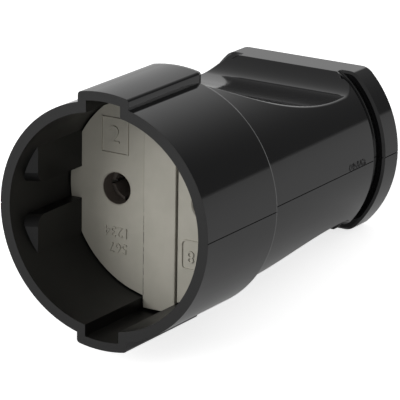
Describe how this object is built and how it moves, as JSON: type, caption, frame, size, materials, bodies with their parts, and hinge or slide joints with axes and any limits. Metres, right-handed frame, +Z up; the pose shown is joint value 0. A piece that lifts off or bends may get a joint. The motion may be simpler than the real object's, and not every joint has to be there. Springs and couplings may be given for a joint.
{
  "type": "inline socket connector",
  "caption": "Hand-held socket for the end of a cord: a round plug well with two side guides, a waisted grip with finger scoops and a flanged cable end.",
  "frame": {"origin": "on the table, under the middle of the connector's bounding box, as it lies at rest", "axes": "+X from the open face towards the cable end, +Y to the left of that, +Z up; the socket's own axis dips 9.9 degrees towards +X because the connector lies on its lower rib and its flange"},
  "size_m": [0.0746, 0.043, 0.0499],
  "materials": {
    "black_plastic": "gloss",
    "grey_plastic": "matte",
    "clamp_plastic": "matte",
    "brass": "turned",
    "steel": "zinc plated"
  },
  "bodies": {
    "root": {"upper_shell": "black_plastic", "lower_shell": "black_plastic", "contact_carrier": "grey_plastic", "blanking_strip": "grey_plastic", "left_contact": "brass", "right_contact": "brass", "left_contact_spring": "steel", "right_contact_spring": "steel", "left_wire_plate": "steel", "right_wire_plate": "steel", "left_terminal_screw": "steel", "right_terminal_screw": "steel", "cord_clamp": "clamp_plastic", "left_clamp_screw": "steel", "right_clamp_screw": "steel", "left_housing_screw": "steel", "right_housing_screw": "steel"}
  },
  "joints": []
}
